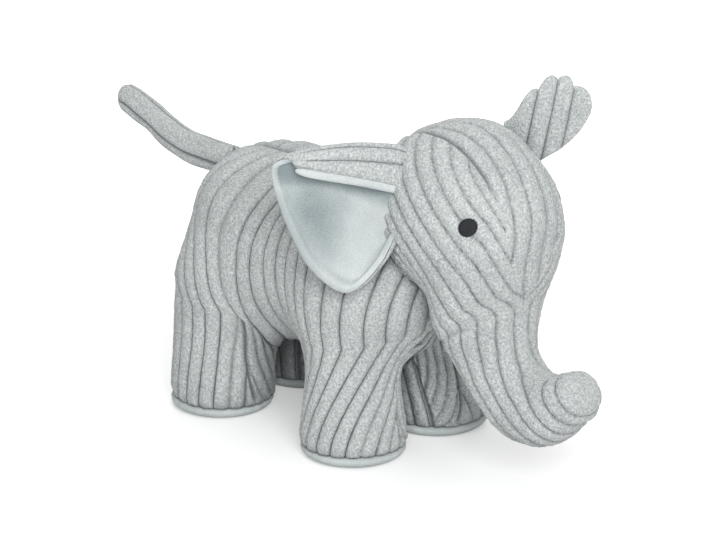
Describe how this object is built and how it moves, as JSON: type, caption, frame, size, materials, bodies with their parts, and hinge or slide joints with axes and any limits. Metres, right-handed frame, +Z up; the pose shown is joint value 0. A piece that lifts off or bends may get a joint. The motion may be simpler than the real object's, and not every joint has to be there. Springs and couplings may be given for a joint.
{
  "type": "elephant door stop",
  "caption": "Stuffed standing elephant door stop in wide-wale corduroy, with flat round soles, a curled trunk, large ears and a raised tail.",
  "frame": {"origin": "on the floor under the middle of the whole object's box", "axes": "+X towards the elephant's trunk, +Y towards its left side, +Z up"},
  "size_m": [0.37, 0.157, 0.2104],
  "materials": {
    "corduroy": "grey wide-wale chenille corduroy",
    "velour": "pale smooth short-pile velour",
    "sole_cloth": "plain blue-grey woven cloth",
    "eye_thread": "dark embroidery thread"
  },
  "bodies": {
    "root": {"body": "corduroy", "head": "corduroy", "tail": "corduroy", "ear_right_back": "corduroy", "ear_left_back": "corduroy", "ear_right_lining": "velour", "ear_left_lining": "velour", "eye_right": "eye_thread", "eye_left": "eye_thread", "sole_front_right": "sole_cloth", "sole_front_left": "sole_cloth", "sole_rear_right": "sole_cloth", "sole_rear_left": "sole_cloth"}
  },
  "joints": []
}
